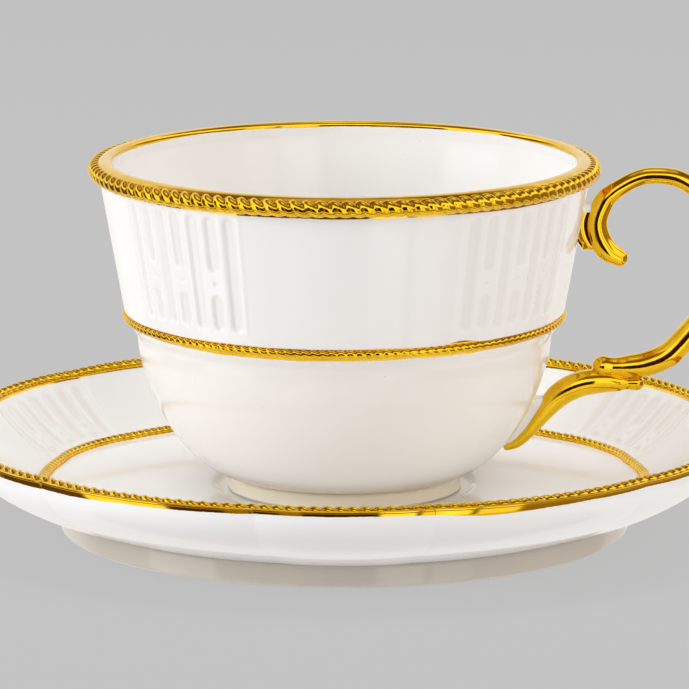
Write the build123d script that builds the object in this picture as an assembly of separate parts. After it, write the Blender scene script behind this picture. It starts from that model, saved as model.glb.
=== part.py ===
from build123d import *
import os
from math import radians, sin

# A porcelain teacup with a gilt scroll handle, standing on its matching saucer.
# Sizes are in millimetres. The origin is the centre of the saucer's foot on the table,
# +Z is up and the handle points along +X. A profile point is (radius, height).

# Saucer: overall sizes
SAUCER_RADIUS = 74.8
SAUCER_HEIGHT = 19.7
SAUCER_FOOT_RADIUS = 53.6
SAUCER_FOOT_HEIGHT = 4.4
SAUCER_FOOT_WIDTH = 4.0
SAUCER_FLOOR_THICKNESS = 3.6
FOOT_EDGE_ROUND = 0.8
FOOT_TOP_SPREAD = 1.2  # width of a foot ring at its top, as a share of the width it stands on

# Saucer: well, flange and cup seat
WELL_RADIUS = 56.2
WELL_ROPE_RADIUS = 0.95
CUP_SEAT_DEPTH = 0.8
CUP_SEAT_CLEARANCE = 2.2

# Saucer: rim
SAUCER_ROPE_RADIUS = 1.1
SAUCER_ROPE_STAND = 0.11
SAUCER_EDGE_GILDING = 0.5
SAUCER_GILDING_HEIGHT = 0.9

# Cup: overall sizes, with heights above the face that its foot stands on
CUP_HEIGHT = 62.75
CUP_RIM_RADIUS = 46.2
CUP_WAIST_RADIUS = 41.3
CUP_BOWL_RADIUS = 38.8
CUP_FOOT_RADIUS = 22.0
CUP_FOOT_HEIGHT = 3.2
CUP_FOOT_WIDTH = 3.6
WAIST_HEIGHT = 34.15
BOWL_SHOULDER_DROP = 5.6
WALL_THICKNESS = 2.7
FLOOR_THICKNESS = 3.2
WALL_HOLLOW = 0.25
WAIST_TUCK = 0.3
CUT_CLEARANCE = 1

# Cup: rim and waist beads
LIP_GILDING_HEIGHT = 1.4
LIP_ROPE_DROP = 1.9
CUP_ROPE_RADIUS = 1.6
CUP_ROPE_STAND = 0.2
WAIST_ROPE_RADIUS = 0.85

# Handle: its two anchors on the cup, as heights below the lip and above the cup's foot
UPPER_ANCHOR_DROP = 13.0
LOWER_ANCHOR_HEIGHT = 16.05
SLIP_WIDTH = 3.0

# Handle: (share of the way up between the anchors, distance out, rod radius). The distance is from
# the straight line between the anchors for the C-scroll, and from the bowl for the S-scroll.
C_SCROLL_STATIONS = (
    (0.806, 8.5, 1.7),
    (0.850, 6.0, 2.1),
    (0.930, 4.0, 2.15),
    (1.019, 3.1, 2.1),
    (1.120, 3.9, 1.95),
    (1.203, 6.9, 1.6),
    (1.269, 12.1, 1.55),
    (1.251, 17.1, 1.65),
    (1.168, 21.8, 1.75),
    (1.025, 25.7, 1.9),
    (0.847, 27.7, 2.0),
    (0.657, 28.0, 2.15),
    (0.482, 26.3, 2.25),
    (0.368, 24.1, 2.3),
    (0.257, 21.0, 2.4),
    (0.203, 17.3, 2.4),
    (0.185, 13.1, 2.3),
    (0.188, 9.0, 2.0),
)
S_SCROLL_STATIONS = (
    (0.096, 18.33, 1.0),
    (0.099, 15.41, 1.65),
    (0.108, 11.53, 2.25),
    (0.091, 7.67, 2.45),
    (0.028, 4.86, 2.3),
    (-0.079, 3.58, 1.7),
    (-0.171, 3.25, 1.3),
    (-0.236, 2.81, 1.05),
    (-0.260, 1.75, 0.8),
)
UPPER_SLIP_STATIONS = (1, 5)
LOWER_SLIP_STATIONS = (4, 9)
LINE_HALVINGS = 30

# Levels worked out from the sizes above
CUP_SEAT_Z = SAUCER_FOOT_HEIGHT + SAUCER_FLOOR_THICKNESS - CUP_SEAT_DEPTH
WELL_Z = CUP_SEAT_Z + CUP_SEAT_DEPTH
SEAT_RADIUS = CUP_FOOT_RADIUS + CUP_SEAT_CLEARANCE
RIM_SEAT_Z = SAUCER_HEIGHT - SAUCER_ROPE_RADIUS - SAUCER_ROPE_STAND
FLANGE_TOP_RADIUS = SAUCER_RADIUS - SAUCER_EDGE_GILDING - 2 * SAUCER_ROPE_RADIUS
CUP_FOOT_TOP_Z = CUP_SEAT_Z + CUP_FOOT_HEIGHT
CUP_TOP_Z = CUP_SEAT_Z + CUP_HEIGHT
LIP_SEAT_Z = CUP_TOP_Z - LIP_GILDING_HEIGHT
WAIST_Z = CUP_SEAT_Z + WAIST_HEIGHT
SHOULDER_Z = WAIST_Z - BOWL_SHOULDER_DROP
RIM_ROPE_Z = CUP_TOP_Z - LIP_ROPE_DROP
WAIST_ROPE_Z = WAIST_Z - WAIST_ROPE_RADIUS
MOUTH_RADIUS = CUP_RIM_RADIUS - WALL_THICKNESS


def face(*edges):
    """A flat face from edges drawn as (radius, height)."""
    return Plane.XZ * make_face(edges)


def disc(radius, at):
    """A round section centred at (radius, height)."""
    return Plane.XZ * Pos(*at) * Circle(radius)


def turned(section):
    """The solid of a section turned once round the axis."""
    return revolve(section, Axis.Z)


# Outlines

def wall_line():
    """The outside of the upper wall, from the waist to the rim, very slightly hollow."""
    return SagittaArc((CUP_WAIST_RADIUS, WAIST_Z), (CUP_RIM_RADIUS, LIP_SEAT_Z), WALL_HOLLOW)


def bowl_line():
    """The outside of the lower bowl, from the foot up to its shoulder."""
    foot = (CUP_FOOT_RADIUS, CUP_FOOT_TOP_Z)
    shoulder = (CUP_BOWL_RADIUS, SHOULDER_Z)
    spread = CUP_BOWL_RADIUS - CUP_FOOT_RADIUS
    rise = SHOULDER_Z - CUP_FOOT_TOP_Z
    low_pull = (foot[0] + 0.5 * spread, foot[1] + 0.05 * rise)
    high_pull = (shoulder[0] - 0.03 * spread, shoulder[1] - 0.37 * rise)
    return Bezier(foot, low_pull, high_pull, shoulder)


def cup_outside():
    """The whole outer outline of the cup's bowl, closed down its axis."""
    waist_in = (CUP_WAIST_RADIUS - WAIST_ROPE_RADIUS, WAIST_Z - 2 * WAIST_ROPE_RADIUS)
    shoulder = (CUP_BOWL_RADIUS, SHOULDER_Z)
    ogee = Bezier(
        shoulder,
        (shoulder[0], shoulder[1] + 0.55 * (waist_in[1] - shoulder[1])),
        (waist_in[0] - WAIST_TUCK, waist_in[1] - 0.45 * (waist_in[1] - shoulder[1])),
        waist_in,
    )
    return face(
        Line((0, CUP_FOOT_TOP_Z), (CUP_FOOT_RADIUS, CUP_FOOT_TOP_Z)),
        bowl_line(),
        ogee,
        Line(waist_in, (CUP_WAIST_RADIUS, WAIST_Z)),
        wall_line(),
        Line((CUP_RIM_RADIUS, LIP_SEAT_Z), (0, LIP_SEAT_Z)),
        Line((0, LIP_SEAT_Z), (0, CUP_FOOT_TOP_Z)),
    )


def cup_hollow():
    """The space that holds the tea, open at the top."""
    floor_z = CUP_FOOT_TOP_Z + FLOOR_THICKNESS
    floor_radius = CUP_FOOT_RADIUS - CUP_FOOT_WIDTH
    waist = (CUP_WAIST_RADIUS - WALL_THICKNESS, WAIST_Z)
    bowl = (CUP_BOWL_RADIUS - WALL_THICKNESS, SHOULDER_Z)
    side = Bezier(
        (floor_radius, floor_z),
        (floor_radius + 0.6 * (bowl[0] - floor_radius), floor_z + 0.02 * (bowl[1] - floor_z)),
        (bowl[0] - 0.03 * (bowl[0] - floor_radius), bowl[1] - 0.4 * (bowl[1] - floor_z)),
        bowl,
    )
    return face(
        Line((0, floor_z), (floor_radius, floor_z)),
        side,
        Line(bowl, waist),
        Line(waist, (MOUTH_RADIUS, LIP_SEAT_Z)),
        Line((MOUTH_RADIUS, LIP_SEAT_Z), (MOUTH_RADIUS, CUP_TOP_Z + CUT_CLEARANCE)),
        Line((MOUTH_RADIUS, CUP_TOP_Z + CUT_CLEARANCE), (0, CUP_TOP_Z + CUT_CLEARANCE)),
        Line((0, CUP_TOP_Z + CUT_CLEARANCE), (0, floor_z)),
    )


def lip_section():
    """The smooth gilt lip on top of the wall, rounded over."""
    inner = (MOUTH_RADIUS, LIP_SEAT_Z)
    outer = (CUP_RIM_RADIUS, LIP_SEAT_Z)
    crown = ((inner[0] + outer[0]) / 2, CUP_TOP_Z)
    return face(ThreePointArc(inner, crown, outer), Line(outer, inner))


def saucer_section():
    """The dish: cup seat, well, flange and the curved underside."""
    flange_foot = (WELL_RADIUS + 2 * WELL_ROPE_RADIUS, WELL_Z)
    flange_top = (FLANGE_TOP_RADIUS, RIM_SEAT_Z)
    run = flange_top[0] - flange_foot[0]
    rise = flange_top[1] - flange_foot[1]
    flange = Bezier(
        flange_foot,
        (flange_foot[0] + 0.4 * run, flange_foot[1] + 0.2 * rise),
        (flange_foot[0] + 0.75 * run, flange_foot[1] + 0.6 * rise),
        flange_top,
    )
    edge = (SAUCER_RADIUS - SAUCER_EDGE_GILDING / 2, RIM_SEAT_Z)
    foot = (SAUCER_FOOT_RADIUS, SAUCER_FOOT_HEIGHT)
    under_run = edge[0] - foot[0]
    under_rise = edge[1] - foot[1]
    underside = Bezier(
        edge,
        (edge[0] - 0.01 * under_run, edge[1] - 0.4 * under_rise),
        (foot[0] + 0.6 * under_run, foot[1] + 0.28 * under_rise),
        foot,
    )
    return face(
        Line((0, CUP_SEAT_Z), (SEAT_RADIUS, CUP_SEAT_Z)),
        Line((SEAT_RADIUS, CUP_SEAT_Z), (SEAT_RADIUS + CUP_SEAT_DEPTH, WELL_Z)),
        Line((SEAT_RADIUS + CUP_SEAT_DEPTH, WELL_Z), flange_foot),
        flange,
        Line(flange_top, edge),
        underside,
        Line(foot, (0, SAUCER_FOOT_HEIGHT)),
        Line((0, SAUCER_FOOT_HEIGHT), (0, CUP_SEAT_Z)),
    )


def foot_section(radius, width, bottom, top):
    """A foot ring with a rounded resting edge and a slight taper inside."""
    ring = face(
        Line((radius - width, bottom), (radius, bottom)),
        Line((radius, bottom), (radius, top)),
        Line((radius, top), (radius - FOOT_TOP_SPREAD * width, top)),
        Line((radius - FOOT_TOP_SPREAD * width, top), (radius - width, bottom)),
    )
    lower = ring.vertices().group_by(Axis.Z)[0]
    return fillet(lower, min(FOOT_EDGE_ROUND, 0.4 * width, 0.4 * (top - bottom)))


# Saucer pieces

def saucer_pieces():
    """The dish, its foot ring, and the gilt beads on its rim and round its well."""
    dish = saucer_section()
    rope_centre = (FLANGE_TOP_RADIUS + SAUCER_ROPE_RADIUS, SAUCER_HEIGHT - SAUCER_ROPE_RADIUS)
    rim_rope = disc(SAUCER_ROPE_RADIUS, rope_centre) - dish
    gilding_top = RIM_SEAT_Z + SAUCER_GILDING_HEIGHT
    gilding = face(
        Line((rope_centre[0], RIM_SEAT_Z), (SAUCER_RADIUS - SAUCER_EDGE_GILDING / 2, RIM_SEAT_Z)),
        ThreePointArc(
            (SAUCER_RADIUS - SAUCER_EDGE_GILDING / 2, RIM_SEAT_Z),
            (SAUCER_RADIUS, (RIM_SEAT_Z + gilding_top) / 2),
            (SAUCER_RADIUS - SAUCER_EDGE_GILDING / 2, gilding_top),
        ),
        Line((SAUCER_RADIUS - SAUCER_EDGE_GILDING / 2, gilding_top), (rope_centre[0], gilding_top)),
        Line((rope_centre[0], gilding_top), (rope_centre[0], RIM_SEAT_Z)),
    )
    gilding = gilding - disc(SAUCER_ROPE_RADIUS, rope_centre) - dish
    well_rope = disc(WELL_ROPE_RADIUS, (WELL_RADIUS + WELL_ROPE_RADIUS, WELL_Z)) - dish
    foot = foot_section(SAUCER_FOOT_RADIUS, SAUCER_FOOT_WIDTH, 0, SAUCER_FOOT_HEIGHT)
    return {
        "saucer_dish": turned(dish),
        "saucer_foot_ring": turned(foot),
        "saucer_rim_rope": turned(rim_rope),
        "saucer_edge_gilding": turned(gilding),
        "saucer_well_rope": turned(well_rope),
    }


# Cup pieces

def cup_pieces():
    """The bowl, its foot ring, the gilt lip and the two gilt rope beads."""
    bowl = cup_outside() - cup_hollow()
    lip = lip_section()
    rope_centre = (CUP_RIM_RADIUS + CUP_ROPE_STAND, RIM_ROPE_Z)
    rim_rope = disc(CUP_ROPE_RADIUS, rope_centre) - cup_outside() - lip
    waist_centre = (CUP_WAIST_RADIUS - WAIST_ROPE_RADIUS / 2, WAIST_ROPE_Z)
    waist_rope = disc(WAIST_ROPE_RADIUS, waist_centre) - cup_outside()
    foot = foot_section(CUP_FOOT_RADIUS, CUP_FOOT_WIDTH, CUP_SEAT_Z, CUP_FOOT_TOP_Z)
    return {
        "cup_bowl": turned(bowl),
        "cup_foot_ring": turned(foot),
        "cup_lip_gilding": turned(lip),
        "cup_rim_rope": turned(rim_rope),
        "cup_waist_rope": turned(waist_rope),
    }


# Handle pieces

def anchor_heights():
    """The heights of the handle's lower and upper anchors."""
    return CUP_SEAT_Z + LOWER_ANCHOR_HEIGHT, CUP_TOP_Z - UPPER_ANCHOR_DROP


def anchor_line_radius(height):
    """The radius at a height of the straight line between the two anchors."""
    low_z, top_z = anchor_heights()
    up = (top_z - WAIST_Z) / (LIP_SEAT_Z - WAIST_Z)
    top_radius = CUP_WAIST_RADIUS + up * (CUP_RIM_RADIUS - CUP_WAIST_RADIUS)
    share = (height - low_z) / (top_z - low_z)
    return CUP_BOWL_RADIUS + share * (top_radius - CUP_BOWL_RADIUS)


def bowl_radius(height):
    """The radius of the bowl's outside at a height, found by halving the line again and again."""
    line = bowl_line()
    below, above = 0, 1
    for halving in range(LINE_HALVINGS):
        middle = (below + above) / 2
        if (line @ middle).Y < height:
            below = middle
        else:
            above = middle
    return (line @ below).X


def handle_points(stations, cup_radius):
    """Stations of a scroll as (x, z, rod radius), out from the cup's radius at their height."""
    low_z, top_z = anchor_heights()
    points = []
    for share, out, radius in stations:
        height = low_z + share * (top_z - low_z)
        points.append((cup_radius(height) + out, height, radius))
    return points


def rounded_end(radius):
    """A half ball that stands on the XY plane."""
    slant = radius * sin(radians(45))
    quarter = face(
        Line((0, 0), (radius, 0)),
        ThreePointArc((radius, 0), (slant, slant), (0, radius)),
        Line((0, radius), (0, 0)),
    )
    return turned(quarter)


def rod(points):
    """A round rod that changes thickness along its stations, with rounded ends."""
    sections = []
    for here, (x, z, radius) in enumerate(points):
        before = points[max(here - 1, 0)]
        after = points[min(here + 1, len(points) - 1)]
        along = Vector(after[0] - before[0], 0, after[1] - before[1])
        sections.append(Plane((x, 0, z), x_dir=(0, 1, 0), z_dir=along) * Circle(radius))
    body = loft(sections)
    for (x, z, radius), beside in ((points[0], points[1]), (points[-1], points[-2])):
        outward = Vector(x - beside[0], 0, z - beside[1])
        body = body + Plane((x, 0, z), x_dir=(0, 1, 0), z_dir=outward) * rounded_end(radius)
    return body


def slip(stations, scroll, cup_solid):
    """The white slip that fills the gap from the cup to the middle of a stretch of scroll."""
    middle = [(x, z) for x, z, radius in stations]
    reach = WALL_THICKNESS + max(radius for x, z, radius in stations)
    inside = [(x - reach, z) for x, z in reversed(middle)]
    pad = extrude(face(Polyline(*middle, *inside, close=True)), SLIP_WIDTH / 2, both=True)
    return pad - scroll - cup_solid


def handle_pieces():
    """The two gilt scrolls and the white slip that sticks each one to the cup."""
    c_points = handle_points(C_SCROLL_STATIONS, anchor_line_radius)
    s_points = handle_points(S_SCROLL_STATIONS, bowl_radius)
    s_scroll = rod(s_points)
    c_scroll = rod(c_points) - s_scroll
    cup_solid = turned(cup_outside())
    return {
        "handle_c_scroll": c_scroll,
        "handle_s_scroll": s_scroll,
        "handle_upper_slip": slip(c_points[slice(*UPPER_SLIP_STATIONS)], c_scroll, cup_solid),
        "handle_lower_slip": slip(s_points[slice(*LOWER_SLIP_STATIONS)], s_scroll, cup_solid),
    }


def main():
    os.makedirs("parts", exist_ok=True)
    pieces = saucer_pieces()
    pieces.update(cup_pieces())
    pieces.update(handle_pieces())
    for name, solid in pieces.items():
        solid.label = name
        export_step(solid, os.path.join("parts", name + ".step"))
        box = solid.bounding_box()
        print(name, "solids", len(solid.solids()), "volume", round(solid.volume, 1), box.min, box.max)


main()
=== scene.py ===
import math

import bpy
import bmesh
import numpy as np
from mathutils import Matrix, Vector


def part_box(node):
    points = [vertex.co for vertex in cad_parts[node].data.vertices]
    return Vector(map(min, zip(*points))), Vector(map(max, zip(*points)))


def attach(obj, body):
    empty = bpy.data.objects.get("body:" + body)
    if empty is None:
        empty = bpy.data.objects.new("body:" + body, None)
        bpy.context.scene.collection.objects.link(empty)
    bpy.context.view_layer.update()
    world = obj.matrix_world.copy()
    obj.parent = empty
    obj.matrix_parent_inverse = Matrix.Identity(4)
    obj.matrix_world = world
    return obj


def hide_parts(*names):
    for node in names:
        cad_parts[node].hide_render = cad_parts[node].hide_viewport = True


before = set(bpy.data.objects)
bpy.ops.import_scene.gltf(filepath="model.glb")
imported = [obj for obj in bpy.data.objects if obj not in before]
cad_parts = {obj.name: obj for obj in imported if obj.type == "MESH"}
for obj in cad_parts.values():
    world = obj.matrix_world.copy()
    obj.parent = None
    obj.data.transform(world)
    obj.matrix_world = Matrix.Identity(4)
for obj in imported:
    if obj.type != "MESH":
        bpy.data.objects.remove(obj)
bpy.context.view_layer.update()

# A gilt porcelain teacup on its saucer. Shapes are worked out in millimetres in the frame's own
# axes and turned into metres when a mesh is made. A turn is an angle in degrees from the front
# (-Y) towards the handle (+X), and a profile is a row of (radius, height) points.
MM = 0.001


def low(node):
    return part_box(node)[0] / MM


def high(node):
    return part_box(node)[1] / MM


# Sizes read from the frame
CUP_SEAT_Z = low("cup_foot_ring").z
CUP_FOOT_TOP_Z = high("cup_foot_ring").z
CUP_FOOT_RADIUS = high("cup_foot_ring").x
CUP_RIM_RADIUS = high("cup_bowl").x
LIP_SEAT_Z = high("cup_bowl").z
CUP_TOP_Z = high("cup_lip_gilding").z
RIM_ROPE_LOW, RIM_ROPE_HIGH = low("cup_rim_rope"), high("cup_rim_rope")
WAIST_ROPE_LOW, WAIST_ROPE_HIGH = low("cup_waist_rope"), high("cup_waist_rope")
SAUCER_RADIUS = high("saucer_edge_gilding").x
RIM_SEAT_Z = high("saucer_dish").z
SAUCER_TOP_Z = high("saucer_rim_rope").z
SAUCER_FOOT_TOP_Z = high("saucer_foot_ring").z
SAUCER_FOOT_RADIUS = high("saucer_foot_ring").x
WELL_Z = low("saucer_well_rope").z
WELL_ROPE_OUTSIDE = high("saucer_well_rope").x

# Rope beads: bead radius, strands round the ring, how far a strand twists, and groove depth as a
# share of the bead radius
RIM_ROPE = (1.6, 120, 2, 0.42)
WAIST_ROPE = (0.85, 156, 2, 0.42)
SAUCER_ROPE = (1.1, 204, 2, 0.40)
WELL_ROPE = (0.95, 216, 2, 0.30)
WELL_ROPE_RISE = 0.25
EDGE_GILDING = 0.5

# Sizes of the porcelain that the boxes don't give
WALL = 2.7
CUP_FLOOR = 3.2
CUP_FOOT_WIDTH = 3.6
CUP_FOOT_ROUND = 0.6
BOWL_RADIUS = 38.8
WAIST_Z = WAIST_ROPE_LOW.z + 2 * WAIST_ROPE[0]
WAIST_RADIUS = 41.3
WAIST_TUCK = 0.9
LIP_SIDE = 0.4
SHOULDER_DROP = 5.6
SHOULDER_Z = WAIST_Z - SHOULDER_DROP
SEAT_MARGIN = 2.2
SEAT_RADIUS = CUP_FOOT_RADIUS + SEAT_MARGIN
SAUCER_FOOT_WIDTH = 4.0
SAUCER_FOOT_ROUND = 1.3
SAUCER_TURN = -2.0
BARE_EDGE = 0.2


# Curves and profiles

def straight(start, end, count):
    """Points from start up to, but not including, end."""
    t = np.linspace(0, 1, count, endpoint=False)[:, None]
    return np.array(start) * (1 - t) + np.array(end) * t


def bent(p0, p1, p2, p3, count):
    """Points of a cubic curve from p0 up to, but not including, p3."""
    t = np.linspace(0, 1, count, endpoint=False)[:, None]
    p0, p1, p2, p3 = (np.array(p, float) for p in (p0, p1, p2, p3))
    return (1 - t) ** 3 * p0 + 3 * (1 - t) ** 2 * t * p1 + 3 * (1 - t) * t ** 2 * p2 + t ** 3 * p3


def smooth(t):
    t = np.clip(t, 0, 1)
    return t * t * (3 - 2 * t)


def wrapped(turn, centre):
    """The signed angle in degrees from centre to turn."""
    return (turn - centre + 180) % 360 - 180


def wander(turn, seed):
    """A slow uneven drift round the ring between about -1 and 1, as a brush line has."""
    t = np.radians(turn)
    waves = ((2, 0.30), (5, 0.28), (9, 0.22), (17, 0.14), (31, 0.10), (53, 0.06))
    return sum(size * np.sin(count * t + seed * (1.7 + count)) for count, size in waves)


# Relief of the fluted panels

# A group of channels is centred on each turn in groups. pitch is in degrees, and radius is where
# the channels' width is measured. Every second channel is whole, and the others are an upper and a
# lower run with a dot between them. The cup's channels run up its wall and the saucer's run out.
CUP_FLUTES = {
    "groups": (45, 135, 225, 315),
    "pitch": 5.15,
    "radius": 43.8,
    "full": (WAIST_Z + 1.95, LIP_SEAT_Z - 2.85),
    "upper": (WAIST_Z + 12.95, LIP_SEAT_Z - 2.85),
    "lower": (WAIST_Z + 1.95, WAIST_Z + 9.35),
    "dot": WAIST_Z + 11.15,
    "depth": 0.34,
    "edge": 1.05,
}
SAUCER_GROUPS = tuple(60 * k + SAUCER_TURN for k in range(6))
SAUCER_FLUTES = {
    "groups": SAUCER_GROUPS,
    "pitch": 3.5,
    "radius": 65.0,
    "full": (WELL_ROPE_OUTSIDE + 1.2, SAUCER_RADIUS - 3.6),
    "upper": (WELL_ROPE_OUTSIDE + 6.2, SAUCER_RADIUS - 3.6),
    "lower": (WELL_ROPE_OUTSIDE + 1.2, WELL_ROPE_OUTSIDE + 3.6),
    "dot": WELL_ROPE_OUTSIDE + 4.9,
    "depth": 0.22,
    "edge": 1.05,
}
CHANNELS = 7
CHANNEL_SHARE = 0.40
RIDGE_RISE = 0.07
OUTER_RIDGE_RISE = 0.13
RIDGE_WIDTH = 0.5
RIDGE_FADE = 1.5


def slot_distance(across, along, span, half_width):
    """Distance to a round-ended slot, negative inside it."""
    past = np.maximum(span[0] + half_width - along, along - (span[1] - half_width))
    return np.hypot(across, np.maximum(past, 0)) - half_width


def panel_relief(turn, along, flutes):
    """How far the surface stands out at each turn and place along the channels, in mm."""
    pitch, radius, full, dot = (flutes[key] for key in ("pitch", "radius", "full", "dot"))
    offsets = np.stack([wrapped(turn, group) for group in flutes["groups"]])
    nearest = np.take_along_axis(offsets, np.abs(offsets).argmin(0)[None], 0)[0]
    half = CHANNEL_SHARE * math.radians(pitch) * radius
    split = (
        (flutes["upper"], half),
        (flutes["lower"], half),
        ((dot - half * 0.5, dot + half * 0.5), half * 0.5),
    )
    middle = CHANNELS // 2
    sunk = np.zeros(np.broadcast(turn, along).shape)
    for index in range(-middle, middle + 1):
        across = np.radians(nearest - index * pitch) * radius
        for span, width in ((full, half),) if index % 2 else split:
            distance = slot_distance(across, along, span, width)
            sunk = np.maximum(sunk, smooth(-distance / flutes["edge"]))
    stand = np.zeros_like(sunk)
    above_start = smooth((along - full[0]) / RIDGE_FADE + 0.5)
    below_end = smooth((full[1] - along) / RIDGE_FADE + 0.5)
    inside = above_start * below_end
    for index in range(-middle - 1, middle + 1):
        across = np.radians(nearest - (index + 0.5) * pitch) * radius
        rise = OUTER_RIDGE_RISE if index in (-middle - 1, middle) else RIDGE_RISE
        stand += rise * np.exp(-(across / RIDGE_WIDTH) ** 2) * inside
    return stand - flutes["depth"] * sunk


def ring_turns(groups, half_width, fine, coarse):
    """Turns round the ring, close together across the fluted groups and wider elsewhere."""
    turns = []
    for centre in groups:
        turns += list(centre + np.arange(-half_width, half_width + fine / 2, fine))
    gap = 360 / len(groups) - 2 * half_width
    count = int(round(gap / coarse))
    for centre in groups:
        turns += list(centre + half_width + gap * np.arange(1, count) / count)
    return np.array(sorted(t % 360 for t in turns))


# Meshes

CORNER = math.radians(40)
SAME_POINT = 1e-7


def grid_points(turns, radius, height):
    """Points from radius and height at each row and turn."""
    angle = np.radians(turns)[None, :]
    return np.stack([radius * np.sin(angle), -radius * np.cos(angle), height + 0 * angle], -1)


def turned(profile, turns):
    """The radii and the heights of a profile, repeated at every turn."""
    return np.repeat(profile[:, :1], len(turns), 1), np.repeat(profile[:, 1:], len(turns), 1)


def make_piece(name, points, material, body, nodes, ring=False, marks=None):
    """A smooth closed mesh from a grid of points in mm. Each row closes on itself, and so does each
    column with ring. marks are numbers kept at each point for the material to read."""
    rows, cols = points.shape[:2]
    index = np.arange(rows * cols).reshape(rows, cols)
    down = np.vstack([index, index[:1]]) if ring else index
    across = np.hstack([down, down[:, :1]])
    quads = np.stack([across[:-1, :-1], across[:-1, 1:], across[1:, 1:], across[1:, :-1]], -1)
    mesh = bpy.data.meshes.new(name)
    mesh.from_pydata((points.reshape(-1, 3) * MM).tolist(), [], quads.reshape(-1, 4).tolist())
    for mark, values in (marks or {}).items():
        layer = mesh.attributes.new(mark, "FLOAT", "POINT")
        at_points = np.broadcast_to(values, (rows, cols)).astype(np.float32)
        layer.data.foreach_set("value", at_points.ravel())
    made = bmesh.new()
    made.from_mesh(mesh)
    bmesh.ops.remove_doubles(made, verts=made.verts, dist=SAME_POINT)
    bmesh.ops.recalc_face_normals(made, faces=made.faces)
    for one in made.faces:
        one.smooth = True
    for edge in made.edges:
        edge.smooth = edge.calc_face_angle(0) < CORNER
    made.to_mesh(mesh)
    made.free()
    mesh.materials.append(material)
    piece = bpy.data.objects.new(name, mesh)
    bpy.context.scene.collection.objects.link(piece)
    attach(piece, body)
    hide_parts(*nodes)
    return piece


# Material nodes

def add(tree, kind, inputs=None, **settings):
    """A shader node with its settings, and its inputs by name or number."""
    node = tree.nodes.new(kind)
    for key, value in settings.items():
        setattr(node, key, value)
    for key, value in (inputs or {}).items():
        if isinstance(value, bpy.types.NodeSocket):
            tree.links.new(value, node.inputs[key])
        else:
            node.inputs[key].default_value = value
    return node


def calc(tree, operation, first, second=0.0, third=0.0, clamp=False):
    inputs = {0: first, 1: second, 2: third}
    node = add(tree, "ShaderNodeMath", inputs, operation=operation, use_clamp=clamp)
    return node.outputs[0]


def blend_colour(tree, share, first, second):
    node = add(tree, "ShaderNodeMix", {0: share, 6: first, 7: second}, data_type="RGBA")
    return node.outputs[2]


def blend_number(tree, share, first, second):
    node = add(tree, "ShaderNodeMix", {0: share, 2: first, 3: second}, data_type="FLOAT")
    return node.outputs[0]


def blend_shader(tree, share, first, second):
    return add(tree, "ShaderNodeMixShader", {0: share, 1: first.outputs[0], 2: second.outputs[0]})


def noise(tree, scale, detail=3.0, roughness=0.5):
    """Noise over the object's own coordinates; scale is in features per metre."""
    place = add(tree, "ShaderNodeTexCoord").outputs["Object"]
    node = add(
        tree, "ShaderNodeTexNoise",
        {"Vector": place, "Scale": scale, "Detail": detail, "Roughness": roughness},
    )
    return node.outputs["Fac"]


def new_material(name, **sockets):
    """A material with one Principled shader, and its tree."""
    material = bpy.data.materials.new(name)
    material.use_nodes = True
    tree = material.node_tree
    shader = tree.nodes["Principled BSDF"]
    for socket, value in sockets.items():
        shader.inputs[socket.replace("_", " ")].default_value = value
    return material, tree, shader


# Colours
GOLD_BRIGHT = (1.0, 0.66, 0.03, 1)
GOLD_DEEP = (0.80, 0.45, 0.012, 1)
# Painted shade: the dark brown laid into the gold down in the rope's grooves
GOLD_GROOVE_SHADE = (0.16, 0.07, 0.01, 1)
# Body tones, and the darker tones that paint shade in the channels and over the inside of the cup
CUP_WHITE, CUP_SHADE = (0.88, 0.865, 0.85, 1), (0.83, 0.81, 0.785, 1)
SAUCER_WHITE, SAUCER_SHADE = (0.885, 0.875, 0.865, 1), (0.855, 0.825, 0.79, 1)
# Painted shade with warm reflected light, laid on the bowl near its foot
FOOT_SHADE_TONE = (0.66, 0.50, 0.31, 1)
SPECK = (0.35, 0.27, 0.18, 1)
BISCUIT_DARK = (0.52, 0.48, 0.42, 1)
BISCUIT_LIGHT = (0.68, 0.64, 0.58, 1)
# Foot glazes with light painted in: warm reflected light in the shade under the cup, and painted
# shade on the saucer's foot
CUP_FOOT_WARM_LIT_GLAZE = (0.95, 0.86, 0.70, 1)
SAUCER_FOOT_SHADED_GLAZE = (0.56, 0.51, 0.44, 1)


def darker(colour, share):
    return tuple(share * c for c in colour[:3]) + (1,)


def gold_colour(tree):
    """Liquid gold: brighter where it lies thick, and dark brown down in the grooves as painted shade.
    """
    thick = calc(tree, "MULTIPLY_ADD", noise(tree, 220, 4), 1.8, -0.4, clamp=True)
    surface = blend_colour(tree, thick, GOLD_DEEP, GOLD_BRIGHT)
    groove_shade = add(tree, "ShaderNodeAttribute", attribute_name="groove_shade").outputs["Fac"]
    return blend_colour(tree, groove_shade, surface, GOLD_GROOVE_SHADE)


def gold_material():
    """Bright fired gold on moulded relief."""
    material, tree, shader = new_material("bright_gold", Metallic=1.0)
    tree.links.new(gold_colour(tree), shader.inputs["Base Color"])
    duller = calc(tree, "MULTIPLY_ADD", noise(tree, 340, 5), 0.08, 0.03)
    tree.links.new(duller, shader.inputs["Roughness"])
    dents = {"Height": noise(tree, 500, 4), "Strength": 0.06, "Distance": 0.0004}
    bump = add(tree, "ShaderNodeBump", dents)
    tree.links.new(bump.outputs["Normal"], shader.inputs["Normal"])
    return material


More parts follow.
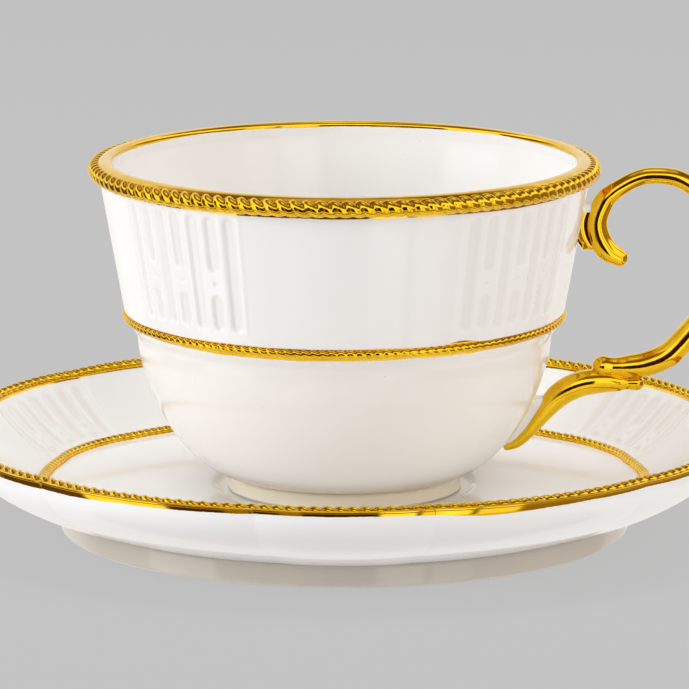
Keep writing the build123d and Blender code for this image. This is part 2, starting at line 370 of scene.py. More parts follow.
def porcelain_material(name, body_tone, shade_tone):
    """White glazed porcelain with a few specks. Its colour takes a darker tone as painted shade where
    the piece's shade mark is up, in the channels and inside the cup, and a warm brown tone as painted
    shade and warm reflected light where its warm mark is up, near the foot. It turns to gold where
    its gilt mark is above zero."""
    material, tree, shader = new_material(
        name, IOR=1.52, Specular_IOR_Level=0.40, Coat_Weight=0.12, Coat_Roughness=0.04,
    )
    tone = blend_colour(tree, noise(tree, 28, 3), body_tone, darker(body_tone, 0.985))
    # Painted shade: the darker tone in the channels and inside the cup
    shaded = add(tree, "ShaderNodeAttribute", attribute_name="recess_shade").outputs["Fac"]
    tone = blend_colour(tree, shaded, tone, shade_tone)
    # Painted shade with warm reflected light, near the foot
    warm_shade = add(tree, "ShaderNodeAttribute", attribute_name="warm_shade").outputs["Fac"]
    tone = blend_colour(tree, warm_shade, tone, FOOT_SHADE_TONE)
    specks = calc(tree, "GREATER_THAN", noise(tree, 900, 2, 0.4), 0.81)
    tone = blend_colour(tree, calc(tree, "MULTIPLY", specks, 0.35), tone, SPECK)
    mark = add(tree, "ShaderNodeAttribute", attribute_name="gilt").outputs["Fac"]
    ragged = calc(tree, "MULTIPLY_ADD", noise(tree, 1500, 3), 0.16, -0.08)
    painted = calc(tree, "MULTIPLY_ADD", calc(tree, "ADD", mark, ragged), 14.0, 0.5, clamp=True)
    colour = blend_colour(tree, painted, tone, gold_colour(tree))
    tree.links.new(colour, shader.inputs["Base Color"])
    tree.links.new(painted, shader.inputs["Metallic"])
    glaze = calc(tree, "MULTIPLY_ADD", noise(tree, 120, 4), 0.05, 0.09)
    tree.links.new(blend_number(tree, painted, glaze, 0.07), shader.inputs["Roughness"])
    ripple = calc(tree, "ADD", noise(tree, 45, 2), calc(tree, "MULTIPLY", noise(tree, 700, 3), 0.03))
    bump = add(tree, "ShaderNodeBump", {"Height": ripple, "Strength": 0.12, "Distance": 0.0006})
    tree.links.new(bump.outputs["Normal"], shader.inputs["Normal"])
    return material


def foot_material(name, lit_glaze_tone, bare_top):
    """Glazed above, with the foot's light and shade painted into the glaze colour it is given, and
    bare biscuit porcelain on the edge that the foot rests on.
    """
    material, tree, shader = new_material(name, IOR=1.5)
    place = add(tree, "ShaderNodeTexCoord").outputs["Object"]
    height = add(tree, "ShaderNodeSeparateXYZ", {0: place}).outputs["Z"]
    edge = calc(tree, "MULTIPLY_ADD", noise(tree, 260, 3), 0.0004, bare_top)
    bare = calc(tree, "LESS_THAN", height, edge)
    grain = noise(tree, 2600, 5, 0.6)
    biscuit = blend_colour(tree, grain, BISCUIT_DARK, BISCUIT_LIGHT)
    glaze = blend_colour(tree, noise(tree, 60, 3), lit_glaze_tone, darker(lit_glaze_tone, 0.93))
    tree.links.new(blend_colour(tree, bare, glaze, biscuit), shader.inputs["Base Color"])
    tree.links.new(blend_number(tree, bare, 0.07, 0.75), shader.inputs["Roughness"])
    rough = calc(tree, "MULTIPLY", grain, bare)
    bump = add(tree, "ShaderNodeBump", {"Height": rough, "Strength": 0.5, "Distance": 0.0002})
    tree.links.new(bump.outputs["Normal"], shader.inputs["Normal"])
    return material


# Cup

# How far the gold covers the porcelain beside each bead and under the saucer's edge
GOLD_UNDER_RIM = 0.3
GOLD_UNDER_WAIST = 0.35
GOLD_OVER_WAIST = 0.15
GOLD_INSIDE_EDGE = 0.45
GOLD_UNDER_EDGE = 0.5
GOLD_BESIDE_WELL = 0.25

# Where it has run past those lines: the turn it is centred on, how wide, and how far it runs
BELOW_WAIST_RUN = (-27, 18, 0.40)
ABOVE_WAIST_RUN = (29, 4.5, 0.60)
SAUCER_EDGE_RUNS = ((-48, 18, 0.4), (19, 8, 0.5))


def gold_run(turns, run):
    """How far past its line the gold reaches at each turn."""
    centre, width, reach = run
    return reach * np.exp(-(wrapped(turns, centre) / width) ** 2)


def cup_inside():
    """From the middle of the floor up the inside of the wall to the lip."""
    floor_z = CUP_FOOT_TOP_Z + CUP_FLOOR
    floor_radius = CUP_FOOT_RADIUS - CUP_FOOT_WIDTH
    bowl = (BOWL_RADIUS - WALL, SHOULDER_Z)
    waist = (WAIST_RADIUS - WALL, WAIST_Z)
    mouth = (CUP_RIM_RADIUS - WALL, LIP_SEAT_Z)
    below_mouth = (mouth[0], mouth[1] - 1.6)
    floor_edge = (floor_radius, floor_z)
    spread = bowl[0] - floor_radius
    rise = bowl[1] - floor_z
    return [
        straight((0, floor_z), floor_edge, 10),
        bent(
            floor_edge,
            (floor_radius + 0.6 * spread, floor_z + 0.02 * rise),
            (bowl[0] - 0.03 * spread, bowl[1] - 0.4 * rise),
            bowl, 26,
        ),
        bent(
            bowl,
            (bowl[0] + 0.2, bowl[1] + 2.2),
            (waist[0] - 0.4, waist[1] - 2.2),
            waist, 6,
        ),
        straight(waist, below_mouth, 12),
        straight(below_mouth, mouth, 5),
        np.array([mouth]),
    ]


def cup_outside():
    """From the lip down the outside of the wall, in under the waist rope and down to the foot."""
    rim = (CUP_RIM_RADIUS, LIP_SEAT_Z)
    waist = (WAIST_RADIUS, WAIST_Z)
    rope_top = waist[1] + 0.2
    under_rope = (WAIST_RADIUS - WAIST_TUCK, WAIST_ROPE_LOW.z)
    shoulder = (BOWL_RADIUS, SHOULDER_Z)
    foot = (CUP_FOOT_RADIUS, CUP_FOOT_TOP_Z)
    middle = (0, CUP_FOOT_TOP_Z)
    spread = shoulder[0] - foot[0]
    rise = shoulder[1] - foot[1]

    def wall(height):
        share = (height - waist[1]) / (rim[1] - waist[1])
        return (waist[0] + share * (rim[0] - waist[0]), height)

    # Rows lie close together across the channels' ends and further apart between them.
    start, end = CUP_FLUTES["full"]
    split_low, split_high = CUP_FLUTES["lower"][1], CUP_FLUTES["upper"][0]
    levels = (rim[1], end + 0.7, end - 1.9, split_high + 1.3, split_low - 1.3, start + 2.1, rope_top)
    rows = (5, 12, 8, 28, 4, 16)
    heights = np.concatenate([
        np.linspace(upper, lower, count, endpoint=False)
        for upper, lower, count in zip(levels, levels[1:], rows)
    ])
    drop = shoulder[1] - under_rope[1]
    return [
        np.array([wall(h) for h in heights]),
        straight(wall(rope_top), under_rope, 6),
        bent(
            under_rope,
            (under_rope[0] - 0.5, under_rope[1] + 0.5 * drop),
            (shoulder[0] + 0.05, shoulder[1] - 0.55 * drop),
            shoulder, 10,
        ),
        bent(
            shoulder,
            (shoulder[0] - 0.03 * spread, shoulder[1] - 0.37 * rise),
            (foot[0] + 0.5 * spread, foot[1] + 0.05 * rise),
            foot, 34,
        ),
        straight(foot, middle, 6),
        np.array([middle]),
    ]


def build_cup_bowl(material):
    turns = ring_turns(CUP_FLUTES["groups"], half_width=20, fine=0.28, coarse=1.2)
    inside = np.concatenate(cup_inside())
    outside = np.concatenate(cup_outside())
    profile = np.concatenate([inside, outside])
    radius, height = turned(profile, turns)
    facing_out = (np.arange(len(profile)) >= len(inside))[:, None]
    on_wall = facing_out & (height > WAIST_Z)
    relief = panel_relief(turns[None, :], height, CUP_FLUTES)
    radius = radius + np.where(on_wall, relief, 0)
    rim_line = RIM_ROPE_LOW.z - GOLD_UNDER_RIM + 0.18 * wander(turns, 1.0)
    waist_low = WAIST_ROPE_LOW.z - GOLD_UNDER_WAIST - gold_run(turns, BELOW_WAIST_RUN)
    waist_high = WAIST_ROPE_HIGH.z + GOLD_OVER_WAIST + gold_run(turns, ABOVE_WAIST_RUN)
    above_low = height - (waist_low - 0.25 * wander(turns, 2.0))
    below_high = waist_high + 0.18 * wander(turns, 3.0) - height
    waist_band = np.minimum(above_low, below_high)
    inner_line = LIP_SEAT_Z + LIP_SIDE + 0.15 * wander(turns, 4.0)
    gilt = np.where(facing_out, np.maximum(height - rim_line, waist_band), height - inner_line)
    # Painted shade with warm reflected light: darker and warmer towards the foot, and a little below
    # the shoulder
    near_foot = 0.75 * smooth((CUP_FOOT_TOP_Z + 4.5 - height) / 5)
    below_shoulder = 0.12 * smooth((SHOULDER_Z + 6 - height) / 8)
    warm_shade = np.where(facing_out, np.maximum(near_foot, below_shoulder), 0)
    # Painted shade down in the channels and over the whole inside of the cup
    recess_shade = np.where(on_wall, smooth(-relief / CUP_FLUTES["depth"]), np.where(facing_out, 0, 1))
    return make_piece(
        "cup_bowl_porcelain", grid_points(turns, radius, height), material, "cup",
        ["cup_bowl"], marks={"gilt": gilt, "recess_shade": recess_shade, "warm_shade": warm_shade},
    )


def build_foot(name, node, body, radius, width, bottom, top, round_off, material):
    """A foot ring: a rounded resting edge, and a slight cove under the piece it carries."""
    inner = radius - width
    inner_top = (inner - 0.2 * width, top)
    outer_top = (radius - 0.5, top)
    inside, outside = (inner, bottom + round_off), (radius, bottom + round_off)
    rest_inside, rest_outside = (inner + round_off, bottom), (radius - round_off, bottom)
    cove = (radius - 0.05, top - 0.8)
    profile = np.concatenate([
        straight(inner_top, inside, 8),
        bent(inside, (inner, bottom), (inner, bottom), rest_inside, 6),
        straight(rest_inside, rest_outside, 5),
        bent(rest_outside, (radius, bottom), (radius, bottom), outside, 6),
        straight(outside, cove, 8),
        bent(cove, (radius - 0.1, top - 0.4), (radius - 0.3, top - 0.1), outer_top, 6),
        straight(outer_top, inner_top, 6),
    ])
    turns = np.arange(0, 360, 1.5)
    return make_piece(
        name, grid_points(turns, *turned(profile, turns)), material, body, [node],
        ring=True,
    )


def build_lip(material):
    """The smooth gilt lip over the top of the wall, down to the rope outside it."""
    inner = CUP_RIM_RADIUS - WALL
    inner_foot, outer_foot = (inner, LIP_SEAT_Z), (CUP_RIM_RADIUS, LIP_SEAT_Z)
    inner_side = (inner, LIP_SEAT_Z + LIP_SIDE)
    crown = (inner + 1.1, CUP_TOP_Z)
    outer_side = (CUP_RIM_RADIUS, CUP_TOP_Z - 0.6)
    profile = np.concatenate([
        straight(inner_foot, inner_side, 4),
        bent(inner_side, (inner, CUP_TOP_Z - 0.15), (inner + 0.5, CUP_TOP_Z), crown, 8),
        bent(
            crown, (inner + 1.9, CUP_TOP_Z),
            (CUP_RIM_RADIUS - 0.6, CUP_TOP_Z - 0.25), outer_side, 8,
        ),
        straight(outer_side, outer_foot, 4),
        straight(outer_foot, inner_foot, 4),
    ])
    turns = np.arange(0, 360, 1.0)
    radii, heights = turned(profile, turns)
    inner_line = LIP_SEAT_Z + LIP_SIDE + 0.2 * wander(turns, 4.0)
    gilt = np.maximum(heights - inner_line, radii - inner - 0.6)
    # The lip's inner porcelain takes the same painted shade as the inside of the cup
    return make_piece(
        "cup_lip_gold", grid_points(turns, radii, heights), material, "cup",
        ["cup_lip_gilding"], ring=True, marks={"gilt": gilt, "recess_shade": 1.0},
    )


def build_rope(name, node, body, rope, ring_radius, height, material, per_strand=10, around=24):
    """A twisted rope bead moulded round a ring. ring_radius gives the radius at each turn. The
    grooves are deepest along the top of the bead, where their painted shade is darkest too."""
    bead, strands, twist, groove_depth = rope
    turns = np.arange(strands * per_strand) * 360 / (strands * per_strand)
    section = np.arange(around) * 2 * np.pi / around
    phase = np.radians(turns)[None, :] * strands + section[:, None] * twist
    lobe = np.abs(np.cos(phase / 2))
    crest = np.clip(np.sin(section), 0, 1)[:, None]
    depth = groove_depth * (0.4 + 0.6 * crest)
    thick = bead * (1 - depth + depth * lobe)
    radius = ring_radius(turns) + thick * np.cos(section)[:, None]
    level = height + thick * np.sin(section)[:, None]
    # Painted shade in the grooves, darkest along the top of the bead
    groove_shade = smooth((0.5 - lobe) / 0.5) * (0.35 + 0.6 * crest)
    return make_piece(
        name, grid_points(turns, radius, level), material, body, [node],
        ring=True, marks={"groove_shade": groove_shade},
    )


# Saucer

# The outline repeats with the fluted groups: each fluted lobe ends LOBE_EDGE degrees from its
# middle, and the plain lobe beside it has its middle HALF_REPEAT degrees from there. The well is
# round out to the radius ROUND_INSIDE.
LOBE_EDGE = 12.6
HALF_REPEAT = 30
RIM_NOTCH = 0.8
WELL_BULGE = 0.8
ROUND_INSIDE = 44
FLANGE_TILT = math.radians(38)
EDGE_DROP = 0.35
EDGE_WIDTH = 1.8


def lobe_shape(turn):
    """0 in the middle of a lobe and 1 at the notch between two, and whether it is a fluted lobe."""
    offsets = np.stack([wrapped(turn, g) for g in SAUCER_GROUPS])
    nearest = np.abs(offsets).min(0)
    fluted = nearest < LOBE_EDGE
    inside = nearest / LOBE_EDGE
    outside = (HALF_REPEAT - nearest) / (HALF_REPEAT - LOBE_EDGE)
    return np.where(fluted, inside, outside), fluted


def rim_shift(turn):
    """How far the rim comes in at each turn: a scalloped outline with a notch at each lobe's edge."""
    edge = lobe_shape(turn)[0]
    return -RIM_NOTCH * np.abs(edge) ** 3


def well_shift(turn):
    """How far the well's rope bulges out under each fluted lobe."""
    edge, fluted = lobe_shape(turn)
    return np.where(fluted, WELL_BULGE * (1 - np.abs(edge) ** 3), 0)


def saucer_shift(radius, turn):
    """The outline's shift at a radius, fading from the rim to the well and to nothing inside it."""
    to_rim = smooth((radius - WELL_ROPE_OUTSIDE) / (SAUCER_RADIUS - 4 - WELL_ROPE_OUTSIDE))
    to_well = smooth((radius - ROUND_INSIDE) / (WELL_ROPE_OUTSIDE - 1 - ROUND_INSIDE))
    return rim_shift(turn) * to_rim + well_shift(turn) * to_well * (1 - to_rim)


def saucer_top():
    """From the middle of the cup's seat out over the well and the flange to the rim."""
    bead = SAUCER_ROPE[0]
    flange_top = (SAUCER_RADIUS - EDGE_GILDING - 2 * bead, RIM_SEAT_Z)
    flange_foot = (WELL_ROPE_OUTSIDE, WELL_Z)
    seat_edge = (SEAT_RADIUS - 1, CUP_SEAT_Z)
    well_start = (SEAT_RADIUS + 1.4, WELL_Z)
    rope_inside = (WELL_ROPE_OUTSIDE - 2.2, WELL_Z)
    run = flange_top[0] - flange_foot[0]
    rise = flange_top[1] - flange_foot[1]
    return [
        straight((0, CUP_SEAT_Z), seat_edge, 10),
        bent(seat_edge, (SEAT_RADIUS, CUP_SEAT_Z), (SEAT_RADIUS + 0.2, WELL_Z), well_start, 8),
        straight(well_start, rope_inside, 14),
        straight(rope_inside, flange_foot, 6),
        bent(
            flange_foot,
            (flange_foot[0] + 0.4 * run, flange_foot[1] + 0.2 * rise),
            (flange_foot[0] + 0.75 * run, flange_foot[1] + 0.6 * rise),
            flange_top, 46,
        ),
    ]


def saucer_under():
    """From the rim down the curved underside to the foot ring and in to the middle."""
    edge = (SAUCER_RADIUS - 0.25, RIM_SEAT_Z)
    foot = (SAUCER_FOOT_RADIUS, SAUCER_FOOT_TOP_Z)
    foot_inside = (SAUCER_FOOT_RADIUS - 1.2 * SAUCER_FOOT_WIDTH, SAUCER_FOOT_TOP_Z)
    middle = (0, SAUCER_FOOT_TOP_Z)
    run = edge[0] - foot[0]
    rise = edge[1] - foot[1]
    return [
        straight((edge[0] - 2.8, RIM_SEAT_Z), edge, 5),
        bent(
            edge,
            (edge[0] - 0.01 * run, edge[1] - 0.4 * rise),
            (foot[0] + 0.6 * run, foot[1] + 0.28 * rise),
            foot, 34,
        ),
        straight(foot, foot_inside, 4),
        straight(foot_inside, middle, 8),
        np.array([middle]),
    ]


def build_saucer_dish(material):
    turns = ring_turns(SAUCER_GROUPS, half_width=14, fine=0.25, coarse=0.9)
    top = np.concatenate(saucer_top())
    profile = np.concatenate([top] + saucer_under())
    radius, height = turned(profile, turns)
    facing_up = (np.arange(len(profile)) < len(top))[:, None]
    relief = panel_relief(turns[None, :], radius, SAUCER_FLUTES)
    on_flange = facing_up & (radius > WELL_ROPE_OUTSIDE)
    relief = np.where(on_flange, relief, 0)
    shift = saucer_shift(radius, turns[None, :])
    rope_foot = SAUCER_RADIUS - EDGE_GILDING - 2 * SAUCER_ROPE[0]
    upper_line = rope_foot - GOLD_INSIDE_EDGE + 0.2 * wander(turns, 5.0)
    runs = sum(gold_run(turns, run) for run in SAUCER_EDGE_RUNS)
    lower_line = RIM_SEAT_Z - GOLD_UNDER_EDGE - runs + 0.25 * wander(turns, 6.0)
    well_reach = WELL_ROPE[0] + GOLD_BESIDE_WELL + 0.2 * wander(turns, 7.0)
    well_band = well_reach - np.abs(radius - (WELL_ROPE_OUTSIDE - WELL_ROPE[0]))
    gilt = np.where(facing_up, np.maximum(radius - upper_line, well_band), height - lower_line)
    # Painted shade down in the flange's channels
    recess_shade = smooth(-relief / SAUCER_FLUTES["depth"])
    moved = radius + shift - relief * math.sin(FLANGE_TILT)
    raised = height + relief * math.cos(FLANGE_TILT)
    return make_piece(
        "saucer_dish_porcelain", grid_points(turns, moved, raised), material, "saucer",
        ["saucer_dish"], marks={"gilt": gilt, "recess_shade": recess_shade},
    )


def build_saucer_edge(material):
    """The smooth gilt outer edge below the rim's rope."""
    turns = np.arange(0, 360, 0.5)
    top = high("saucer_edge_gilding").z - EDGE_DROP
    outer = SAUCER_RADIUS
    inner_foot, inner_top = (outer - EDGE_WIDTH, RIM_SEAT_Z), (outer - EDGE_WIDTH, top)
    outer_foot, outer_top = (outer - 0.25, RIM_SEAT_Z), (outer - 0.4, top)
    low_side, high_side = (outer, RIM_SEAT_Z + 0.2), (outer, top - 0.2)
    profile = np.concatenate([
        straight(inner_foot, outer_foot, 4),
        bent(outer_foot, (outer - 0.1, RIM_SEAT_Z + 0.1), (outer, RIM_SEAT_Z + 0.15), low_side, 4),
        straight(low_side, high_side, 3),
        bent(high_side, (outer, top - 0.1), (outer - 0.1, top), outer_top, 6),
        straight(outer_top, inner_top, 4),
        straight(inner_top, inner_foot, 3),
    ])
    radii, heights = turned(profile, turns)
    return make_piece(
        "saucer_edge_gold", grid_points(turns, radii + rim_shift(turns), heights), material,
        "saucer", ["saucer_edge_gilding"], ring=True,
    )


# Handle

# Stations as (x, z, rod radius) from the low corner of the scroll's box, on the handle's middle plane
C_SCROLL = (
    (6.43, 23.21, 1.7),
    (4.13, 24.71, 2.1),
    (2.53, 27.41, 2.15),
    (2.13, 30.41, 2.1),
    (3.43, 33.81, 1.95),
    (4.95, 35.45, 1.75),
    (6.93, 36.85, 1.6),
    (9.45, 38.15, 1.55),
    (12.43, 38.81, 1.55),
    (17.33, 38.21, 1.65),
    (21.63, 35.41, 1.75),
    (24.73, 30.61, 1.9),
    (25.83, 24.61, 2.0),
    (25.13, 18.21, 2.15),
    (22.53, 12.31, 2.25),
    (19.68, 8.46, 2.3),
    (16.03, 4.71, 2.4),
    (12.03, 2.91, 2.4),
    (8.33, 2.33, 2.25),
    (5.63, 2.31, 1.85),
    (3.63, 2.41, 2.1),
)
S_SCROLL = (
    (25.1, 12.8, 1.4),
    (23.4, 12.8, 1.2),
    (21.7, 12.9, 1.65),
    (18.28, 13.21, 2.25),
    (14.18, 12.61, 2.45),
    (10.38, 10.51, 2.3),
    (7.28, 6.91, 1.7),
    (4.88, 3.81, 1.3),
    (2.58, 1.61, 1.05),
    (0.78, 0.81, 0.8),
)
UPPER_SLIP = C_SCROLL[1:5]
LOWER_SLIP = S_SCROLL[5:10]

# A slip reaches SLIP_REACH from a scroll's middle line towards the cup. On the upper slip the gold
# goes SLIP_GOLD_REACH past the scroll's side and stops UPPER_SLIP_WHITE below the slip's top. The
# lower slip is white all over, because its gold would end CLEAR_OF_SLIP below it.
SLIP_REACH = 4.6
SLIP_GOLD_REACH = 2.2
UPPER_SLIP_WHITE = 1.6
CLEAR_OF_SLIP = 5


def placed(stations, node):
    """Stations moved from the low corner of a node's box to their place in the frame."""
    corner = low(node)
    return [(corner.x + x, corner.z + z, radius) for x, z, radius in stations]


def through(stations, per_span):
    """A smooth run through stations, Catmull-Rom with per_span points between each two."""
    points = np.array(stations, float)
    ends = np.vstack([2 * points[0] - points[1], points, 2 * points[-1] - points[-2]])
    t = np.linspace(0, 1, per_span, endpoint=False)[:, None]
    run = []
    for before, here, after, later in zip(ends, ends[1:], ends[2:], ends[3:]):
        run.append(0.5 * (
            2 * here + (after - before) * t
            + (2 * before - 5 * here + 4 * after - later) * t ** 2
            + (3 * here - before - 3 * after + later) * t ** 3
        ))
    return np.vstack(run + [points[-1:]])


def build_rod(name, node, stations, material, per_span=10, around=40):
    """A round gilt rod along its stations, with ball ends."""
    run = through(stations, per_span)
    place, size = run[:, :2], run[:, 2]
    along = np.gradient(place, axis=0)
    along /= np.linalg.norm(along, axis=1)[:, None]
    bow = np.linspace(0, np.pi / 2, 9)[1:]

    def ball(at, side):
        centre, direction, radius = place[at], along[at], size[at]
        return [
            (centre + side * direction * radius * np.sin(b), direction, radius * np.cos(b))
            for b in bow
        ]

    rows = ball(0, -1)[::-1] + list(zip(place, along, size)) + ball(-1, 1)
    section = np.arange(around) * 2 * np.pi / around
    points = []
    for centre, direction, radius in rows:
        out = np.array([-direction[1], direction[0]])
        x = centre[0] + out[0] * radius * np.cos(section)
        z = centre[1] + out[1] * radius * np.cos(section)
        points.append(np.stack([x, radius * np.sin(section), z], -1))
    return make_piece(name, np.array(points), material, "cup", [node])


def build_slip(name, node, stations, gilt_below, material):
    """The white slip from the cup's wall to a scroll: hollow sides that flare against the wall. It
    is gilt beside the scroll up to the height gilt_below, and white all over if that is under it."""
    run = through(stations, 8)
    side = np.linspace(-1, 1, 13)
    share = np.where(side < 0, 0.55 + 0.75 * np.abs(side) ** 2.2, 0.55 + 0.10 * side)
    points, gilt = [], []
    for row, (x, z, radius) in enumerate(run):
        from_end = min(row, len(run) - 1 - row) / 4
        fullness = math.sqrt(1 - (1 - min(from_end, 1)) ** 2) * 0.85 + 0.15
        across = x - SLIP_REACH * (1 - side) / 2
        half = radius * share * fullness
        loop_x = np.concatenate([across, across[::-1]])
        loop_y = np.concatenate([half, -half[::-1]])
        points.append(np.stack([loop_x, loop_y, np.full_like(loop_x, z)], -1))
        gilt.append(np.minimum(gilt_below - z, loop_x - (x - radius - SLIP_GOLD_REACH)))
    points, gilt = np.array(points), np.array(gilt)
    first = points[:1].mean(1, keepdims=True) + 0 * points[:1]
    last = points[-1:].mean(1, keepdims=True) + 0 * points[-1:]
    points = np.concatenate([first, points, last])
    gilt = np.concatenate([gilt[:1], gilt, gilt[-1:]])
    return make_piece(name, points, material, "cup", [node], marks={"gilt": gilt})


# Stage, light and camera

CAMERA_TURN = -2.05
CAMERA_DISTANCE = 1.0323
CAMERA_HEIGHT = 0.2372
CAMERA_PITCH = 11.12
CAMERA_LENS = 292.2
PALE_GREY = (0.533, 0.533, 0.533, 1)
WORLD_LIGHT = 0.535
FLOOR_GLOW = 0.89
FLOOR_MATT = (0.06, 0.06, 0.06, 1)
FLOOR_BOUNCE = 0.88
BOUNCE_TINT = (0.98, 0.97, 0.98, 1)
FLOOR_DROP = 0.0002


def build_stage():
    """A plain pale floor that keeps an even tone, with a soft shadow."""
    material = bpy.data.materials.new("pale_floor")
    material.use_nodes = True
    tree = material.node_tree
    tree.nodes.clear()
    path = add(tree, "ShaderNodeLightPath")
    glow = add(tree, "ShaderNodeEmission", {"Color": PALE_GREY, "Strength": FLOOR_GLOW})
    matt = add(tree, "ShaderNodeBsdfDiffuse", {"Color": FLOOR_MATT})
    seen = add(tree, "ShaderNodeAddShader", {0: glow.outputs[0], 1: matt.outputs[0]})
    bounce = add(tree, "ShaderNodeEmission", {"Color": BOUNCE_TINT, "Strength": FLOOR_BOUNCE})
    pick = blend_shader(tree, path.outputs["Is Diffuse Ray"], seen, bounce)
    add(tree, "ShaderNodeOutputMaterial", {"Surface": pick.outputs[0]})
    bpy.ops.mesh.primitive_circle_add(
        vertices=96, radius=6, fill_type="NGON", location=(0, 0, -FLOOR_DROP),
    )
    floor = bpy.context.object
    floor.name = "floor"
    floor.data.materials.append(material)
    floor.visible_glossy = False


# What the glaze and the gold mirror: bands side by side at eye height as (turn it starts at,
# brightness), and bands above each other as (height in degrees it starts at, brightness).
# EYE_SPAN is the heights that the first ones cover. BACKDROP is the brightness behind the object,
# and BACKDROP_FADE is the y of the direction where it starts and where it is full.
EYE_BANDS = (
    (-180, 0.85), (-135, 0.40), (-128, 0.12), (-86, 1.3), (-54, 0.06), (-29, 0.30), (-17, 0.03),
    (12, 1.3), (31, 0.10), (34, 1.1), (51, 0.30), (130, 0.85),
)
LEVEL_BANDS = (
    (-90, 0.15), (-66, 0.35), (-48, 0.80), (-30, 0.06), (16, 1.3), (40, 0.35), (50, 0.20), (66, 0.60),
    (80, 1.2),
)
EYE_SPAN = (-30, 16)
EYE_FADE = 3
BACKDROP = 0.90
BACKDROP_FADE = (0.45, 0.80)
BAND_EDGE = 2.2
BROWN_SHIFT = (1.25, 1.5)
ROOM_TINT = (1.0, 0.96, 0.90, 1)
LIGHT_TINT = (1.0, 0.985, 0.965, 1)


def ramp(tree, position, stops, start, span):
    """Levels at stops of (degrees, level) along a position that runs from start over span. Lower
    levels are browner."""
    node = add(tree, "ShaderNodeValToRGB", {0: position})
    elements = node.color_ramp.elements
    elements.remove(elements[1])
    for number, (degrees, level) in enumerate(stops):
        place = (degrees - start) / span
        element = elements.new(place) if number else elements[0]
        element.position = place
        element.color = (level, level ** BROWN_SHIFT[0], level ** BROWN_SHIFT[1], 1)
    return node.outputs[0]


def banded(tree, position, bands, start, span):
    """Levels in soft-edged steps, each held from its own start to the next one's."""
    stops = [(start, bands[0][1])]
    for (_, before), (begin, level) in zip(bands, bands[1:]):
        stops += [(begin - BAND_EDGE, before), (begin, level)]
    return ramp(tree, position, stops, start, span)


def build_world():
    """Pale grey behind the object, even light on it, and softboxes in a dark room in its gloss."""
    world = bpy.data.worlds.new("studio")
    bpy.context.scene.world = world
    world.use_nodes = True
    tree = world.node_tree
    tree.nodes.clear()
    path = add(tree, "ShaderNodeLightPath")
    direction = add(tree, "ShaderNodeTexCoord").outputs["Generated"]
    x, y, z = add(tree, "ShaderNodeSeparateXYZ", {0: direction}).outputs
    front = calc(tree, "MULTIPLY", y, -1.0)
    turn = calc(tree, "MULTIPLY_ADD", calc(tree, "ARCTAN2", x, front), 0.5 / math.pi, 0.5)
    climb = calc(tree, "MULTIPLY_ADD", calc(tree, "ARCSINE", z), 1 / math.pi, 0.5)
    at_eye = banded(tree, turn, EYE_BANDS, -180, 360)
    above_and_below = banded(tree, climb, LEVEL_BANDS, -90, 180)
    bottom, top = EYE_SPAN
    steps = [(bottom - EYE_FADE, 0), (bottom, 1), (top, 1), (top + EYE_FADE, 0)]
    room = blend_colour(tree, ramp(tree, climb, steps, -90, 180), above_and_below, at_eye)
    fade = {"Value": y, "From Min": BACKDROP_FADE[0], "From Max": BACKDROP_FADE[1]}
    behind = add(tree, "ShaderNodeMapRange", fade).outputs[0]
    room = blend_colour(tree, behind, room, (BACKDROP, BACKDROP, BACKDROP, 1))
    tint = add(
        tree, "ShaderNodeMix", {0: 1.0, 6: room, 7: ROOM_TINT},
        data_type="RGBA", blend_type="MULTIPLY",
    )
    seen = add(tree, "ShaderNodeBackground", {"Color": PALE_GREY, "Strength": 1.0})
    light = add(tree, "ShaderNodeBackground", {"Color": LIGHT_TINT, "Strength": WORLD_LIGHT})
    mirror = add(tree, "ShaderNodeBackground", {"Color": tint.outputs[2], "Strength": 1.0})
    lit = blend_shader(tree, path.outputs["Is Glossy Ray"], light, mirror)
    pick = blend_shader(tree, path.outputs["Is Camera Ray"], lit, seen)
    add(tree, "ShaderNodeOutputWorld", {"Surface": pick.outputs[0]})


def softbox(name, place, size, power, colour):
    """A large soft light aimed at the middle of the object."""
    data = bpy.data.lights.new(name, "AREA")
    data.shape = "RECTANGLE"
    data.size, data.size_y = size
    data.energy = power
    data.color = colour
    lamp = bpy.data.objects.new(name, data)
    lamp.location = place
    lamp.visible_glossy = False
    aim = Vector((0, 0, 0.04)) - lamp.location
    lamp.rotation_euler = aim.to_track_quat("-Z", "Y").to_euler()
    bpy.context.scene.collection.objects.link(lamp)


def build_camera():
    data = bpy.data.cameras.new("camera")
    data.lens = CAMERA_LENS
    data.clip_start = 0.05
    data.clip_end = 50
    camera = bpy.data.objects.new("camera", data)
    turn = math.radians(CAMERA_TURN)
    right, back = CAMERA_DISTANCE * math.sin(turn), CAMERA_DISTANCE * math.cos(turn)
    camera.location = (right, -back, CAMERA_HEIGHT)
    camera.rotation_euler = (math.radians(90 - CAMERA_PITCH), 0, turn)
    bpy.context.scene.collection.objects.link(camera)
    bpy.context.scene.camera = camera


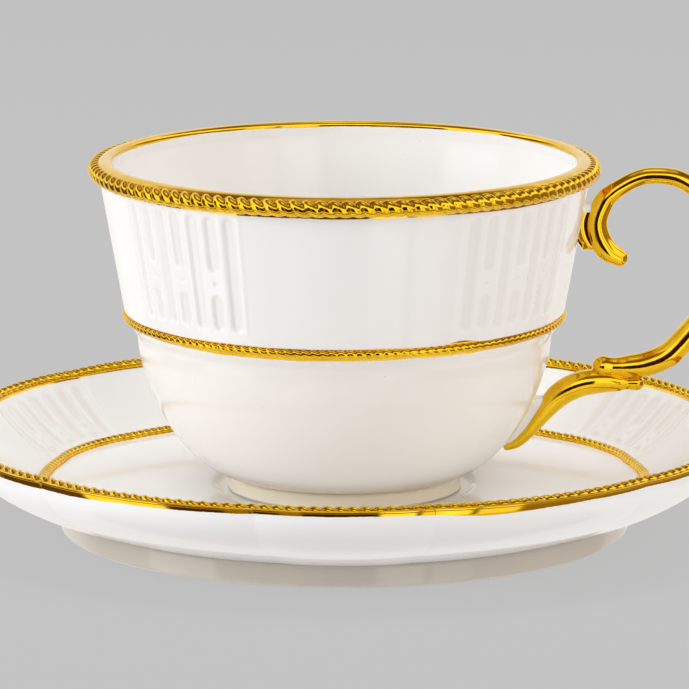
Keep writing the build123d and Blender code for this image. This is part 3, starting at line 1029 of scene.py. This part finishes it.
def build_object():
    gold = gold_material()
    cup_white = porcelain_material("cup_porcelain", CUP_WHITE, CUP_SHADE)
    saucer_white = porcelain_material("saucer_porcelain", SAUCER_WHITE, SAUCER_SHADE)
    # Each foot's glaze colour carries its painted light and shade
    cup_foot = foot_material("cup_foot_porcelain", CUP_FOOT_WARM_LIT_GLAZE, (CUP_SEAT_Z + BARE_EDGE) * MM)
    saucer_foot = foot_material("saucer_foot_porcelain", SAUCER_FOOT_SHADED_GLAZE, BARE_EDGE * MM)
    build_cup_bowl(cup_white)
    build_foot(
        "cup_foot", "cup_foot_ring", "cup", CUP_FOOT_RADIUS, CUP_FOOT_WIDTH,
        CUP_SEAT_Z, CUP_FOOT_TOP_Z, CUP_FOOT_ROUND, cup_foot,
    )
    build_lip(cup_white)
    build_rope(
        "cup_rim_rope_gold", "cup_rim_rope", "cup", RIM_ROPE,
        lambda turns: RIM_ROPE_HIGH.x - RIM_ROPE[0], RIM_ROPE_HIGH.z - RIM_ROPE[0], gold,
    )
    build_rope(
        "cup_waist_rope_gold", "cup_waist_rope", "cup", WAIST_ROPE,
        lambda turns: WAIST_ROPE_HIGH.x - WAIST_ROPE[0], WAIST_ROPE_LOW.z + WAIST_ROPE[0], gold,
        per_strand=8, around=16,
    )
    build_rod("handle_c_scroll_gold", "handle_c_scroll", placed(C_SCROLL, "handle_c_scroll"), gold)
    build_rod("handle_s_scroll_gold", "handle_s_scroll", placed(S_SCROLL, "handle_s_scroll"), gold)
    build_slip(
        "handle_upper_slip_porcelain", "handle_upper_slip", placed(UPPER_SLIP, "handle_c_scroll"),
        high("handle_upper_slip").z - UPPER_SLIP_WHITE, cup_white,
    )
    build_slip(
        "handle_lower_slip_porcelain", "handle_lower_slip", placed(LOWER_SLIP, "handle_s_scroll"),
        low("handle_lower_slip").z - CLEAR_OF_SLIP, cup_white,
    )
    build_saucer_dish(saucer_white)
    build_foot(
        "saucer_foot", "saucer_foot_ring", "saucer", SAUCER_FOOT_RADIUS, SAUCER_FOOT_WIDTH,
        0, SAUCER_FOOT_TOP_Z, SAUCER_FOOT_ROUND, saucer_foot,
    )
    build_saucer_edge(gold)
    rim_bead, well_bead = SAUCER_ROPE[0], WELL_ROPE[0]
    build_rope(
        "saucer_rim_rope_gold", "saucer_rim_rope", "saucer", SAUCER_ROPE,
        lambda turns: SAUCER_RADIUS - EDGE_GILDING - rim_bead + rim_shift(turns),
        SAUCER_TOP_Z - rim_bead, gold, per_strand=8, around=20,
    )
    build_rope(
        "saucer_well_rope_gold", "saucer_well_rope", "saucer", WELL_ROPE,
        lambda turns: WELL_ROPE_OUTSIDE - well_bead + well_shift(turns),
        WELL_Z + WELL_ROPE_RISE, gold, per_strand=7, around=14,
    )


build_camera()
build_world()
build_stage()
softbox("left_softbox", (-1.25, -0.40, 0.50), (0.8, 0.8), 12.0, (0.91, 0.955, 1.0))
softbox("right_softbox", (0.95, -0.6, 0.5), (0.6, 0.8), 4.8, (1.0, 0.94, 0.88))
softbox("top_softbox", (0.0, 0.1, 1.1), (0.9, 0.9), 7.4, (0.98, 0.99, 1.0))
build_object()
bpy.context.scene.view_settings.view_transform = "Standard"
